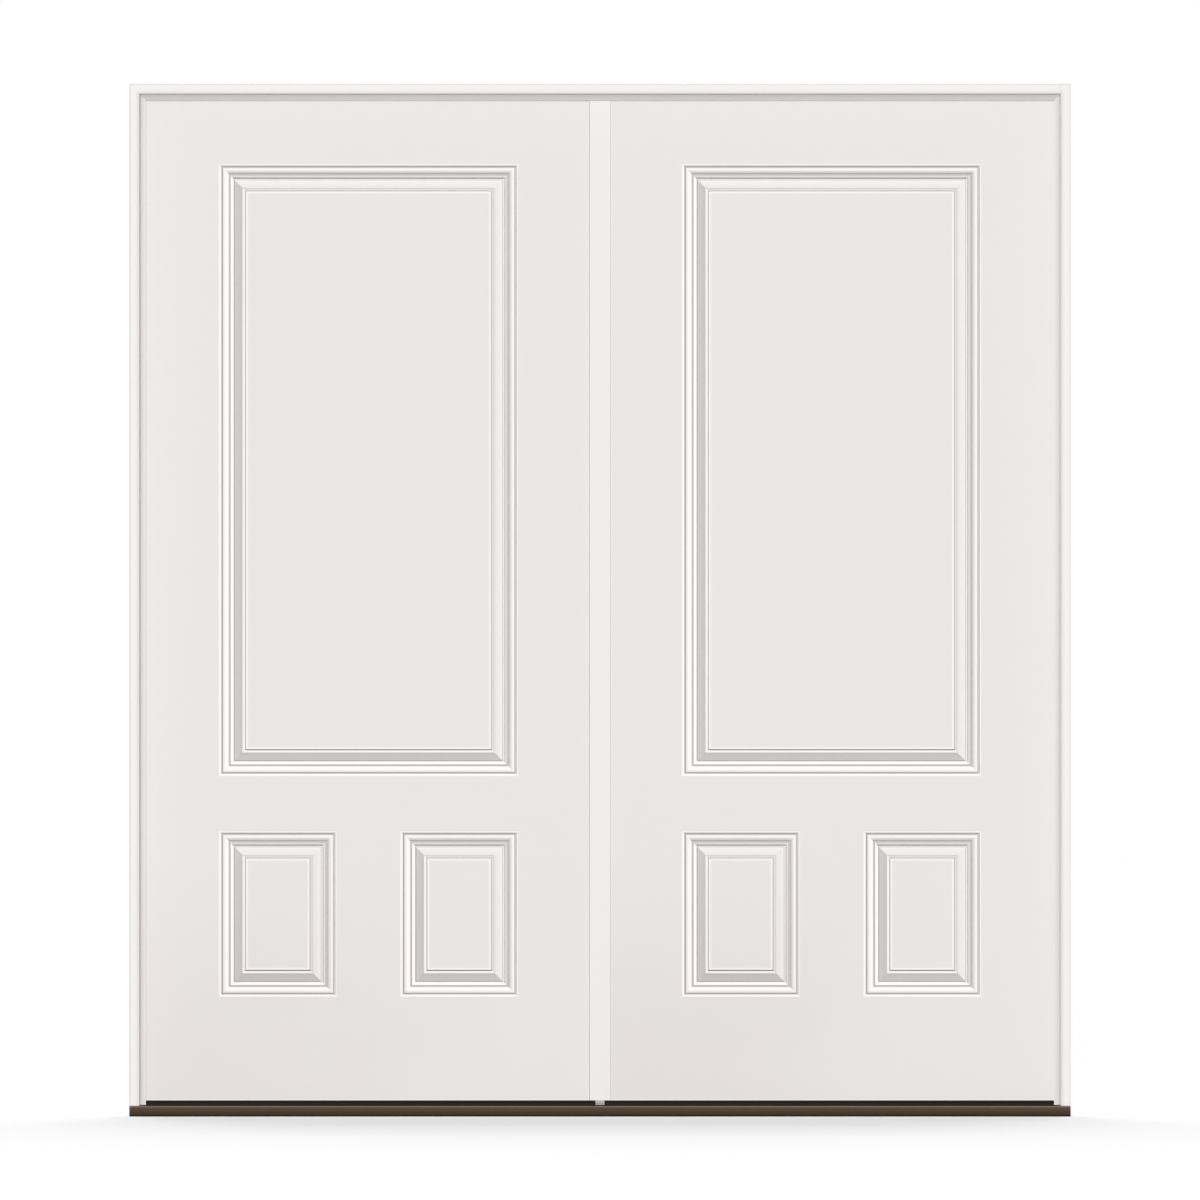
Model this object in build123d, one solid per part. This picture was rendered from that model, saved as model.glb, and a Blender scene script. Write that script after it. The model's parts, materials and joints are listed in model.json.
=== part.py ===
from build123d import *
import os

# Double entry door in its own frame, without the wall.
# It stands on its sill: +X to the right seen from outside, +Y into the house, +Z up.
# The origin is on the floor, at the middle of the opening, in the plane of the jambs' outer edges.
# All sizes are in millimetres.

# Leaves
leaf_width = 914.4
leaf_height = 2022.5
leaf_thickness = 44.5
leaf_bottom = 31.0
skin = 2.0
stile_width = 32.0
top_rail_height = 32.0
bottom_rail_height = 60.0
lock_block_width = 100.0
lock_block_height = 320.0
lock_height = 960.0

# Moulded panels of a leaf: one tall panel over two small ones
panel_side_margin = 157.8
small_panel_bottom = 210.3
small_panel_height = 329.4
small_panel_gap = 132.0
panel_rail = 115.1
panel_top_margin = 139.3

# Profile around a panel, from its outer edge inwards: the width of each member, how far its arcs
# stand off their chords for their width, then the depths below the face of the leaf
edge_round = 2.8
outer_quirk = 1.2
large_bead = 14.0
middle_quirk = 1.4
small_bead = 6.6
valley = 1.4
field_slope = 18.2
groove_fall = 4.4
groove_rise = 1.8
edge_bulge = 0.12
bead_bulge = 0.16
outer_quirk_depth = 2.4
middle_quirk_depth = 5.2
valley_lip_depth = 7.0
valley_depth = 8.8
slope_top_depth = 2.6
groove_depth = 3.7
field_depth = 1.0

# Gaps round the leaves
side_gap = 3.0
top_gap = 3.0
centre_gap = 18.0

# Frame
jamb_face = 20.0
jamb_depth = 116.0
seal_gap = 8.0
stop_width = 11.5
stop_height = 12.0
jamb_edge_round = 1.0

# Sill
nose_projection = 27.0
nose_height = 20.7
nose_round = 2.5
deck_rise = 1.8
sill_wall = 1.8
cap_seat = 14.0
cap_width = 47.0
cap_height = 10.5
cap_bevel = 6.7
cap_bevel_drop = 1.6
cap_upstand = 4.0
deck_groove_count = 7
deck_groove_width = 3.0
deck_groove_depth = 0.6
deck_groove_margin = 9.0
cap_screw_count = 4
sill_pad_depth = 10.0

# Seals
kerf_width = 2.4
kerf_depth = 8.0
seal_leg = 2.0
seal_clearance = 0.3
bulb_width = 10.6
bulb_round_share = 0.4
seal_end_gap = 1.0
sweep_plate = 3.0
sweep_fin = 2.4
sweep_fin_taper = 0.6
sweep_leg_depth = 8.0
sweep_clearance = 0.5
pad_thickness = 2.3
pad_height = 50.0
pad_width = 36.0

# Hinges
hinge_height = 101.6
hinge_plate = 2.2
hinge_plate_width = 38.0
hinge_corner = 16.0
barrel_radius = 6.35
barrel_clearance = 0.8
knuckle_count = 5
knuckle_gap = 0.3
pin_radius = 3.0
pin_clearance = 0.05
pin_head_radius = 4.6
pin_head_height = 3.0
top_hinge_offset = 178.0
bottom_hinge_offset = 279.0
mortise_clearance = 0.1
hinge_screw_set_back = 14.0
hinge_screw_edge_margin = 12.0
hinge_screw_end_margin = 14.2

# Astragal on the passive leaf
astragal_cap_width = 44.0
astragal_cap_thickness = 6.0
astragal_edge = 1.6
astragal_gap = 4.0
astragal_wall = 1.8
astragal_back_set = 2.0
astragal_seal_width = 9.0
astragal_seal_thickness = 2.5
astragal_screw_count = 6
bolt_channel_width = 12.0
bolt_channel_depth = 11.0
bolt_radius = 4.0
bolt_length = 220.0
bolt_set_back = 0.5
bolt_travel = 16.0
bolt_end_clearance = 4.0
slider_height = 30.0
slider_clearance = 0.3
thumb_groove_radius = 3.75
guide_height = 50.0
foot_lip = 5.0
strike_length = 36.0
strike_width = 18.0
strike_thickness = 1.6
strike_hole_radius = 5.0

# How far a drill or cutter runs past what it cuts
cut_margin = 1.0

# Screws
screw_shank = 2.2
screw_head = 4.2
screw_head_height = 2.0
screw_clearance = 0.1
hinge_screw_length = 19.0
frame_screw_length = 60.0
astragal_screw_length = 25.0
cap_screw_length = 18.0

# Places worked out from the sizes above
leaf_lock_x = centre_gap / 2
leaf_hinge_x = leaf_lock_x + leaf_width
rabbet_x = leaf_hinge_x + side_gap
stop_x = rabbet_x - stop_height
unit_half_width = rabbet_x + jamb_face
leaf_top = leaf_bottom + leaf_height
rabbet_z = leaf_top + top_gap
stop_z = rabbet_z - stop_height
unit_height = rabbet_z + jamb_face
leaf_inner_y = jamb_depth
leaf_outer_y = jamb_depth - leaf_thickness
leaf_middle_y = jamb_depth - leaf_thickness / 2
stop_inner_y = leaf_outer_y - seal_gap
stop_outer_y = stop_inner_y - stop_width
hinge_axis_x = leaf_hinge_x + side_gap / 2
hinge_axis_y = jamb_depth + barrel_radius + barrel_clearance
cap_inner_y = jamb_depth - cap_upstand
cap_outer_y = cap_inner_y - cap_width
deck_end_z = nose_height + deck_rise
cap_top = cap_seat + cap_height
knuckle_height = hinge_height / knuckle_count
astragal_edge_x = leaf_lock_x - astragal_gap
astragal_inner_y = leaf_inner_y - astragal_back_set
astragal_face_y = leaf_outer_y - astragal_cap_thickness
channel_x = astragal_edge_x - bolt_channel_depth
bolt_x = astragal_edge_x - bolt_channel_depth / 2
bolt_y = leaf_middle_y
hinge_heights = [
    leaf_bottom + bottom_hinge_offset + hinge_height / 2,
    leaf_bottom + (bottom_hinge_offset + leaf_height - top_hinge_offset) / 2,
    leaf_top - top_hinge_offset - hinge_height / 2,
]


def block(x0, x1, y0, y1, z0, z1):
    """A block between two corners."""
    return Pos(x0, y0, z0) * Box(x1 - x0, y1 - y0, z1 - z0, align=(Align.MIN, Align.MIN, Align.MIN))


def upright(face, z0, z1):
    """A section drawn in plan, stood up between two heights."""
    return Pos(0, 0, z0) * extrude(face, amount=z1 - z0, dir=(0, 0, 1))


def lengthways(points, x0, x1):
    """A section given as (y, z) points, run along X."""
    face = make_face(Polyline(*[(x0, y, z) for y, z in points], close=True))
    return extrude(face, amount=x1 - x0, dir=(1, 0, 0))


def other_side(piece):
    """The same piece on the other side of the unit."""
    return mirror(piece, about=Plane.YZ)


def turned_over(piece):
    """The same piece on the other face of the leaf."""
    return mirror(piece, about=Plane(origin=(0, leaf_middle_y, 0), z_dir=(0, 1, 0)))


def wood_screw(place, direction, length, clearance=0.0):
    """A flat-head screw whose head lies at place; with a clearance it is the hole for one."""
    head = screw_head + clearance
    shank = screw_shank + clearance
    reach = length + clearance
    half = Polyline(
        (0, 0), (head, 0), (shank, -screw_head_height), (shank, -reach), (0, -reach), close=True
    )
    solid = revolve(Plane.XZ * make_face(half), axis=Axis.Z)
    away = [-value for value in direction]
    return Plane(origin=place, z_dir=away) * solid


def screw_row(places, direction, length, clearance=0.0):
    """Like screws that share a direction."""
    return [wood_screw(place, direction, length, clearance) for place in places]


def group(solids):
    """Separate solids of one node."""
    return Compound(children=list(solids))


# Moulded skins and what fills a leaf

def bead_line(start, end, bulge):
    """A convex arc between two points of the profile, bulging out of the leaf."""
    chord = Vector(*end) - Vector(*start)
    outwards = Vector(chord.Y, -chord.X) * bulge
    peak = (Vector(*start) + Vector(*end)) / 2 + outwards
    return ThreePointArc(start, (peak.X, peak.Y), end)


def profile_lines(shift):
    """The moulded profile from the panel's outer edge inwards, pushed into the leaf by shift."""
    quirk_start = edge_round
    bead_start = quirk_start + outer_quirk
    bead_end = bead_start + large_bead
    small_start = bead_end + middle_quirk
    small_end = small_start + small_bead
    slope_start = small_end + valley
    slope_end = slope_start + field_slope
    groove_bottom = slope_end + groove_fall
    groove_end = groove_bottom + groove_rise
    edge = (0, shift)
    quirk_low = (quirk_start, outer_quirk_depth + shift)
    bead_low = (bead_start, outer_quirk_depth + shift)
    bead_high = (bead_end, middle_quirk_depth + shift)
    small_low = (small_start, middle_quirk_depth + shift)
    lip = (small_end, valley_lip_depth + shift)
    bottom = (slope_start, valley_depth + shift)
    crest = (slope_end, slope_top_depth + shift)
    groove = (groove_bottom, groove_depth + shift)
    field = (groove_end, field_depth + shift)
    return [
        bead_line(edge, quirk_low, edge_bulge), Line(quirk_low, bead_low),
        bead_line(bead_low, bead_high, bead_bulge), Line(bead_high, small_low),
        bead_line(small_low, lip, bead_bulge), Line(lip, bottom), Line(bottom, crest),
        Line(crest, groove), Line(groove, field),
    ]


profile_width = (
    edge_round + outer_quirk + large_bead + middle_quirk + small_bead
    + valley + field_slope + groove_fall + groove_rise
)


def skin_section():
    """The sheet bent to the profile: the same line on both of its sides."""
    ends = [
        Line((0, 0), (0, skin)),
        Line((profile_width, field_depth), (profile_width, field_depth + skin)),
    ]
    return make_face(Wire(profile_lines(0) + profile_lines(skin) + ends))


def relief_section():
    """What the bent sheet pushes out of the core behind it."""
    ends = [
        Line((0, skin), (profile_width, skin)),
        Line((profile_width, skin), (profile_width, field_depth + skin)),
    ]
    return make_face(Wire(profile_lines(skin) + ends))


def panels():
    """Each panel of the right-hand leaf as its left, right, bottom and top."""
    left = leaf_lock_x + panel_side_margin
    right = leaf_hinge_x - panel_side_margin
    small_width = (right - left - small_panel_gap) / 2
    low = leaf_bottom + small_panel_bottom
    small_top = low + small_panel_height
    large_low = small_top + panel_rail
    return [
        (left, right, large_low, leaf_top - panel_top_margin),
        (left, left + small_width, low, small_top),
        (right - small_width, right, low, small_top),
    ]


def round_panel(section, panel):
    """A profile run round a panel on the leaf's outer face: four sides, mitred at the corners."""
    left, right, low, high = panel
    outer = [(left, low), (right, low), (right, high), (left, high)]
    inner = [
        (left + profile_width, low + profile_width), (right - profile_width, low + profile_width),
        (right - profile_width, high - profile_width), (left + profile_width, high - profile_width),
    ]
    inwards = [(0, 0, 1), (-1, 0, 0), (0, 0, -1), (1, 0, 0)]
    sides = []
    for index, inward in enumerate(inwards):
        after = (index + 1) % len(inwards)
        start = Vector(outer[index][0], leaf_outer_y, outer[index][1])
        run = Vector(outer[after][0], leaf_outer_y, outer[after][1]) - start
        drawing = Plane(origin=start, x_dir=inward, z_dir=-run)
        corners = [outer[index], outer[after], inner[after], inner[index]]
        outline = [(x, leaf_outer_y - skin, z) for x, z in corners]
        mitres = make_face(Polyline(*outline, close=True))
        side = extrude(drawing * section, amount=run.length, dir=run)
        sides.append(side & extrude(mitres, amount=leaf_thickness, dir=(0, 1, 0)))
    return sides[0] + sides[1:]


def panel_field(panel, front, back):
    """The flat middle of a panel, between two depths behind the leaf's outer face."""
    left, right, low, high = panel
    return block(
        left + profile_width, right - profile_width,
        leaf_outer_y + front, leaf_outer_y + back,
        low + profile_width, high - profile_width,
    )


def outer_skin():
    """Moulded sheet over the leaf's whole outer face."""
    sheet = block(
        leaf_lock_x, leaf_hinge_x, leaf_outer_y, leaf_outer_y + skin, leaf_bottom, leaf_top
    )
    for left, right, low, high in panels():
        sheet -= block(left, right, leaf_outer_y, leaf_outer_y + skin, low, high)
    for panel in panels():
        sheet += round_panel(skin_section(), panel)
        sheet += panel_field(panel, field_depth, field_depth + skin)
    return sheet


def panel_relief():
    """The room that the moulded panels take behind the flat of the skin."""
    return [
        round_panel(relief_section(), panel) + panel_field(panel, skin, field_depth + skin)
        for panel in panels()
    ]


def lock_block():
    """Solid wood beside the lock stile, where a lock would be bored."""
    return block(
        leaf_lock_x + stile_width, leaf_lock_x + stile_width + lock_block_width,
        leaf_outer_y + skin, leaf_inner_y - skin,
        lock_height - lock_block_height / 2, lock_height + lock_block_height / 2,
    )


def core():
    """Foam between the skins, stiles and rails."""
    foam = block(
        leaf_lock_x + stile_width, leaf_hinge_x - stile_width,
        leaf_outer_y + skin, leaf_inner_y - skin,
        leaf_bottom + bottom_rail_height, leaf_top - top_rail_height,
    )
    foam -= lock_block()
    for relief in panel_relief():
        foam -= relief
        foam -= turned_over(relief)
    return foam


def rail(low, high):
    """A rail between the two stiles."""
    return block(
        leaf_lock_x + stile_width, leaf_hinge_x - stile_width,
        leaf_outer_y + skin, leaf_inner_y - skin, low, high,
    )


def stile(x0):
    """An edge member over the leaf's whole height."""
    return block(
        x0, x0 + stile_width, leaf_outer_y + skin, leaf_inner_y - skin, leaf_bottom, leaf_top
    )


# Door-bottom sweep

sweep_leg_places = [leaf_middle_y - leaf_thickness / 4, leaf_middle_y + leaf_thickness / 4]


def sweep_legs(width, depth):
    """The two barbed legs that hold a sweep in the kerfs of the leaf's bottom."""
    high = leaf_bottom + depth
    return [
        block(leaf_lock_x, leaf_hinge_x, y - width / 2, y + width / 2, leaf_bottom, high)
        for y in sweep_leg_places
    ]


def door_sweep():
    """Flexible sweep under the leaf: a plate, three fins and two legs."""
    outer = leaf_outer_y + skin
    inner = leaf_inner_y - skin
    fin_end = cap_top + sweep_clearance
    fin_root = leaf_bottom - sweep_plate
    strip = block(leaf_lock_x, leaf_hinge_x, outer, inner, fin_root, leaf_bottom)
    for y in (outer, leaf_middle_y - sweep_fin / 2, inner - sweep_fin):
        fin = [
            (y, fin_root), (y + sweep_fin, fin_root),
            (y + sweep_fin - sweep_fin_taper, fin_end), (y + sweep_fin_taper, fin_end),
        ]
        strip += lengthways(fin, leaf_lock_x, leaf_hinge_x)
    for leg in sweep_legs(seal_leg, sweep_leg_depth):
        strip += leg
    return strip


def kerfed(piece):
    """A bottom member of the leaf with the kerfs for the sweep's legs."""
    for slot in sweep_legs(kerf_width, sweep_leg_depth + seal_clearance):
        piece -= slot
    return piece


# Hinges, drawn on the right-hand side

def knuckle_span(index):
    """Lowest and highest point of a knuckle, counted from the hinge's bottom."""
    return index * knuckle_height, (index + 1) * knuckle_height


def hinge_leaf(z, plate_x, own_first):
    """One leaf of a butt hinge: a plate with two round corners and every second knuckle."""
    bottom = z - hinge_height / 2
    far = jamb_depth - hinge_plate_width
    plate = block(
        plate_x, plate_x + hinge_plate, far, hinge_axis_y, bottom, bottom + hinge_height
    )
    corners = plate.edges().filter_by(Axis.X).group_by(Axis.Y)[0]
    plate = fillet(corners, hinge_corner)
    for index in range(knuckle_count):
        low, high = knuckle_span(index)
        place = Pos(hinge_axis_x, hinge_axis_y, bottom + (low + high) / 2)
        if index % 2 == own_first:
            plate += place * Cylinder(barrel_radius, high - low - knuckle_gap)
        else:
            plate -= place * Cylinder(barrel_radius + knuckle_gap, high - low + knuckle_gap)
    bore = Cylinder(pin_radius + pin_clearance, hinge_height + cut_margin)
    return plate - Pos(hinge_axis_x, hinge_axis_y, z) * bore


def hinge_pin(z):
    """Loose pin with a button head."""
    pin = Cylinder(pin_radius, hinge_height, align=(Align.CENTER, Align.CENTER, Align.CENTER))
    cone = Cone(
        pin_head_radius, pin_radius, pin_head_height,
        align=(Align.CENTER, Align.CENTER, Align.MIN),
    )
    head = Pos(0, 0, hinge_height / 2) * cone
    return Pos(hinge_axis_x, hinge_axis_y, z) * (pin + head)


def mortise(z, x0, x1):
    """The pocket that a hinge plate lies in."""
    low = z - hinge_height / 2 - mortise_clearance
    far = jamb_depth - hinge_plate_width - mortise_clearance
    pocket = block(x0, x1, far, jamb_depth, low, low + hinge_height + 2 * mortise_clearance)
    corners = pocket.edges().filter_by(Axis.X).group_by(Axis.Y)[0]
    return fillet(corners, hinge_corner)


def hinge_screw_places(z, x):
    """Three screws in a plate: the middle one nearer to the barrel."""
    near = jamb_depth - hinge_screw_set_back
    far = jamb_depth - hinge_plate_width + hinge_screw_edge_margin
    reach = hinge_height / 2 - hinge_screw_end_margin
    return [(x, far, z - reach), (x, near, z), (x, far, z + reach)]


def plate_screws(z, x, direction, clearance=0.0):
    """The screws of one plate."""
    return screw_row(hinge_screw_places(z, x), direction, hinge_screw_length, clearance)


def hinge_screws(x, direction, clearance=0.0):
    """The screws of the three plates on one member."""
    return [screw for z in hinge_heights for screw in plate_screws(z, x, direction, clearance)]


to_jamb = (1, 0, 0)
to_leaf = (-1, 0, 0)
frame_plate_x = rabbet_x
leaf_plate_x = leaf_hinge_x - hinge_plate


def without(piece, tools):
    """A piece with each tool cut out of it."""
    for tool in tools:
        piece -= tool
    return piece


mortise_depth = hinge_plate + mortise_clearance
frame_mortises = [mortise(z, rabbet_x, rabbet_x + mortise_depth) for z in hinge_heights]
leaf_mortises = [mortise(z, leaf_hinge_x - mortise_depth, leaf_hinge_x) for z in hinge_heights]
frame_screw_holes = hinge_screws(rabbet_x, to_jamb, screw_clearance)
leaf_screw_holes = hinge_screws(leaf_hinge_x, to_leaf, screw_clearance)


# Sill

def sill_outline():
    """The whole sill in section: nose, deck, the channel of the cap and the inner upstand."""
    y = -nose_projection
    return [
        (y, 0), (y, nose_height), (cap_outer_y, deck_end_z), (cap_outer_y, cap_seat),
        (cap_inner_y, cap_seat), (cap_inner_y, deck_end_z), (jamb_depth, deck_end_z), (jamb_depth, 0),
    ]


def sill_body():
    """The sill's outer form, with its nose rounded."""
    body = lengthways(sill_outline(), -unit_half_width, unit_half_width)
    nose = body.edges().filter_by(Axis.X).group_by(Axis.Y)[0].sort_by(Axis.Z)[-1]
    return fillet(nose, nose_round)


def sill_filling():
    """The outline inside the metal of the deck."""
    y = -nose_projection + sill_wall
    back = jamb_depth - sill_wall
    return [
        (y, 0), (y, nose_height - sill_wall), (cap_outer_y - sill_wall, deck_end_z - sill_wall),
        (cap_outer_y - sill_wall, cap_seat - sill_wall), (back, cap_seat - sill_wall), (back, 0),
    ]


def deck_grooves():
    """Shallow grooves along the sloping deck, between the nose and the pad's front edge."""
    first = deck_groove_margin - nose_projection
    last = cap_outer_y - sill_pad_depth - deck_groove_margin - deck_groove_width
    step = (last - first) / (deck_groove_count - 1)
    slope = deck_rise / (cap_outer_y + nose_projection)
    grooves = []
    for index in range(deck_groove_count):
        y = first + index * step
        bottom = nose_height + slope * (y + nose_projection) - deck_groove_depth
        grooves.append(block(
            -unit_half_width, unit_half_width, y, y + deck_groove_width, bottom, deck_end_z
        ))
    return grooves


def cap_section():
    """The threshold cap: a bar with its two upper edges sloped."""
    shoulder = cap_top - cap_bevel_drop
    outer = cap_outer_y + seal_clearance
    inner = cap_inner_y - seal_clearance
    return [
        (outer, cap_seat), (outer, shoulder), (outer + cap_bevel, cap_top),
        (inner - cap_bevel, cap_top), (inner, shoulder), (inner, cap_seat),
    ]


def bolt_hole(z0, z1):
    """The hole that a thrown bolt enters."""
    return Pos(bolt_x, bolt_y, (z0 + z1) / 2) * Cylinder(strike_hole_radius, z1 - z0)


def strike(z0, clearance=0.0):
    """The plate round a bolt's hole; with a clearance it is the plate's pocket."""
    return block(
        bolt_x - strike_length / 2 - clearance, bolt_x + strike_length / 2 + clearance,
        bolt_y - strike_width / 2 - clearance, bolt_y + strike_width / 2 + clearance,
        z0, z0 + strike_thickness,
    )


sill_strike_z = cap_top - strike_thickness
bolt_reach = bolt_travel + bolt_end_clearance - bolt_set_back
sill_bolt_hole = bolt_hole(leaf_bottom - bolt_reach, cap_top)
head_bolt_hole = bolt_hole(rabbet_z, leaf_top + bolt_reach)
cap_screw_spacing = 2 * unit_half_width / cap_screw_count
cap_screw_places = [
    ((index + 0.5) * cap_screw_spacing - unit_half_width, leaf_middle_y, cap_top)
    for index in range(cap_screw_count)
]
downwards = (0, 0, -1)
upwards = (0, 0, 1)


# Frame members and their seals

def jamb_section():
    """The right-hand jamb in plan: a board with the stop between its two rabbets."""
    board = Polyline(
        (rabbet_x, 0), (unit_half_width, 0), (unit_half_width, jamb_depth), (rabbet_x, jamb_depth),
        (rabbet_x, stop_inner_y), (stop_x, stop_inner_y), (stop_x, stop_outer_y),
        (rabbet_x, stop_outer_y), close=True,
    )
    return make_face(board)


def kerf_y():
    """Middle of the kerf beside the stop."""
    return stop_inner_y + kerf_width / 2


def jamb():
    """Right-hand side member: it stands on the sill, cut to the sill's form."""
    member = upright(jamb_section(), 0, unit_height)
    outer_edges = member.edges().filter_by(Axis.Z).group_by(Axis.Y)[0]
    member = fillet(outer_edges, jamb_edge_round)
    member -= block(
        rabbet_x, rabbet_x + kerf_depth, stop_inner_y, stop_inner_y + kerf_width, 0, unit_height
    )
    member -= block(stop_x, rabbet_x, stop_outer_y, stop_inner_y, rabbet_z, unit_height)
    member -= sill_body()
    member = without(member, frame_mortises + frame_screw_holes + side_screws(screw_clearance))
    return member


def head_places():
    """Heads of the screws through the right-hand jamb into the head member."""
    z = rabbet_z + jamb_face / 2
    middle = (stop_outer_y + stop_inner_y) / 2
    return [(unit_half_width, y, z) for y in (stop_outer_y / 2, middle, bolt_y)]


def foot_places():
    """Heads of the screws through the sill into the right-hand jamb's foot."""
    x = rabbet_x + jamb_face / 2
    return [(x, y, 0) for y in (stop_outer_y, bolt_y)]


def side_screws(clearance=0.0):
    """The screws that join the right-hand jamb to the head and the sill."""
    into_head = screw_row(head_places(), to_leaf, frame_screw_length, clearance)
    into_foot = screw_row(foot_places(), upwards, frame_screw_length, clearance)
    return into_head + into_foot


def head_section():
    """The head in section as (y, z) points: a board with the stop below it."""
    return [
        (0, rabbet_z), (stop_outer_y, rabbet_z), (stop_outer_y, stop_z), (stop_inner_y, stop_z),
        (stop_inner_y, rabbet_z), (jamb_depth, rabbet_z), (jamb_depth, unit_height), (0, unit_height),
    ]


def head(side_members):
    """Head member between the jambs, coped round their stops."""
    member = lengthways(head_section(), -rabbet_x, rabbet_x)
    outer_edges = member.edges().filter_by(Axis.X).group_by(Axis.Y)[0]
    member = fillet(outer_edges, jamb_edge_round)
    member -= block(
        -rabbet_x, rabbet_x, stop_inner_y, stop_inner_y + kerf_width, rabbet_z, rabbet_z + kerf_depth
    )
    for x0, x1 in ((stop_x, rabbet_x), (-rabbet_x, -stop_x)):
        member -= block(x0, x1, stop_outer_y, stop_inner_y, stop_z, rabbet_z)
    holes = side_screws(screw_clearance)
    member = without(member, holes + [other_side(hole) for hole in holes])
    return without(member, [strike(rabbet_z, screw_clearance), head_bolt_hole])


seal_outer_y = stop_inner_y
seal_inner_y = leaf_outer_y - seal_clearance
leg_low_y = kerf_y() - seal_leg / 2
leg_high_y = kerf_y() + seal_leg / 2
leg_reach = kerf_depth - seal_clearance


def side_seal():
    """Bulb seal of the right-hand jamb: a round-edged bulb and a leg in the kerf."""
    inner_x = rabbet_x - bulb_width
    bulb = block(inner_x, rabbet_x, seal_outer_y, seal_inner_y, cap_top + seal_clearance, rabbet_z)
    edges = bulb.edges().filter_by(Axis.Z).group_by(Axis.X)[0]
    bulb = fillet(edges, (seal_inner_y - seal_outer_y) * bulb_round_share)
    leg = block(
        rabbet_x, rabbet_x + leg_reach, leg_low_y, leg_high_y, cap_top + seal_clearance, rabbet_z
    )
    return bulb + leg


def head_seal(x0, x1):
    """Bulb seal of the head on one side of the astragal."""
    bulb = block(x0, x1, seal_outer_y, seal_inner_y, rabbet_z - bulb_width, rabbet_z)
    edges = bulb.edges().filter_by(Axis.X).group_by(Axis.Z)[0]
    bulb = fillet(edges, (seal_inner_y - seal_outer_y) * bulb_round_share)
    return bulb + block(x0, x1, leg_low_y, leg_high_y, rabbet_z, rabbet_z + leg_reach)


def corner_pad():
    """Foam pad on the right-hand jamb, at the leaf's lower corner."""
    return block(
        rabbet_x - pad_thickness, rabbet_x, leaf_outer_y, leaf_outer_y + pad_width,
        cap_top + seal_clearance, cap_top + seal_clearance + pad_height,
    )


# Astragal, on the lock edge of the left-hand leaf

def astragal_section():
    """The T-shaped extrusion in plan, with two hollows and the channel of the bolts."""
    half = astragal_cap_width / 2
    recess = astragal_seal_thickness
    low = bolt_y - bolt_channel_width / 2
    high = bolt_y + bolt_channel_width / 2
    outline = Polyline(
        (-half + astragal_edge, astragal_face_y), (half - astragal_edge, astragal_face_y),
        (half, astragal_face_y + astragal_edge), (half, leaf_outer_y - recess),
        (astragal_edge_x, leaf_outer_y - recess),
        (astragal_edge_x, low), (channel_x, low), (channel_x, high), (astragal_edge_x, high),
        (astragal_edge_x, astragal_inner_y), (-leaf_lock_x, astragal_inner_y),
        (-leaf_lock_x, leaf_outer_y), (-half, leaf_outer_y),
        (-half, astragal_face_y + astragal_edge), close=True,
    )
    wall = astragal_wall
    left = -leaf_lock_x + wall
    right = astragal_edge_x - wall
    section = make_face(outline)
    for front, back in ((leaf_outer_y, low), (high, astragal_inner_y)):
        hollow = Polyline(
            (left, front + wall), (right, front + wall), (right, back - wall), (left, back - wall),
            close=True,
        )
        section -= make_face(hollow)
    return section


astragal_screw_step = (leaf_height - 2 * bolt_length) / astragal_screw_count
astragal_screw_places = [
    (channel_x, bolt_y, leaf_bottom + bolt_length + (row + 0.5) * astragal_screw_step)
    for row in range(astragal_screw_count)
]


def astragal_body():
    """The extrusion over the leaf's height, drilled for its screws."""
    bar = upright(astragal_section(), leaf_bottom, leaf_top)
    holes = screw_row(astragal_screw_places, to_leaf, astragal_screw_length, screw_clearance)
    return without(bar, holes)


def astragal_seal():
    """Strip behind the cap's free edge, which the active leaf closes against."""
    inner_x = astragal_cap_width / 2 - 2 * astragal_edge
    return block(
        inner_x - astragal_seal_width, inner_x,
        leaf_outer_y - astragal_seal_thickness, leaf_outer_y - seal_clearance, leaf_bottom, leaf_top,
    )


def astragal_foot():
    """Grey pad that closes the astragal's lower end down to the threshold."""
    low = cap_top + sweep_clearance
    lip = block(
        -leaf_lock_x, leaf_lock_x, astragal_face_y, astragal_face_y + foot_lip, low, leaf_bottom
    )
    pad = block(
        -leaf_lock_x, astragal_edge_x, astragal_face_y, astragal_inner_y, low, leaf_bottom
    )
    return lip + pad - bolt_hole(low, leaf_bottom)


def sill_pad():
    """Grey pad on the sill in front of the threshold cap, under the astragal."""
    front = cap_outer_y - sill_pad_depth
    pad = block(-leaf_lock_x, leaf_lock_x, front, cap_outer_y, nose_height, cap_top)
    return pad - sill_body()


def flush_bolt(tip, inward):
    """A rod with a thumb slide at its inner end; inward is -1 for the upper bolt, 1 for the lower."""
    end = tip + inward * bolt_length
    rod = Pos(bolt_x, bolt_y, (tip + end) / 2) * Cylinder(bolt_radius, bolt_length)
    half = bolt_channel_width / 2 - slider_clearance
    low = min(end, end - inward * slider_height)
    slide = block(
        bolt_x - bolt_channel_depth / 2 + slider_clearance,
        bolt_x + bolt_channel_depth / 2 - slider_clearance,
        bolt_y - half, bolt_y + half, low, low + slider_height,
    )
    thumb = Pos(astragal_edge_x, bolt_y, low + slider_height / 2)
    groove = thumb * Rot(90, 0, 0) * Cylinder(thumb_groove_radius, bolt_channel_width * 2)
    return rod + slide - groove


def bolt_guide(low):
    """Block in the channel that the rod runs through."""
    guide = block(
        channel_x, astragal_edge_x - slider_clearance,
        bolt_y - bolt_channel_width / 2 + mortise_clearance,
        bolt_y + bolt_channel_width / 2 - mortise_clearance, low, low + guide_height,
    )
    bore = Cylinder(bolt_radius + pin_clearance, guide_height + cut_margin)
    return guide - Pos(bolt_x, bolt_y, low + guide_height / 2) * bore


nodes = {}

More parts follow.
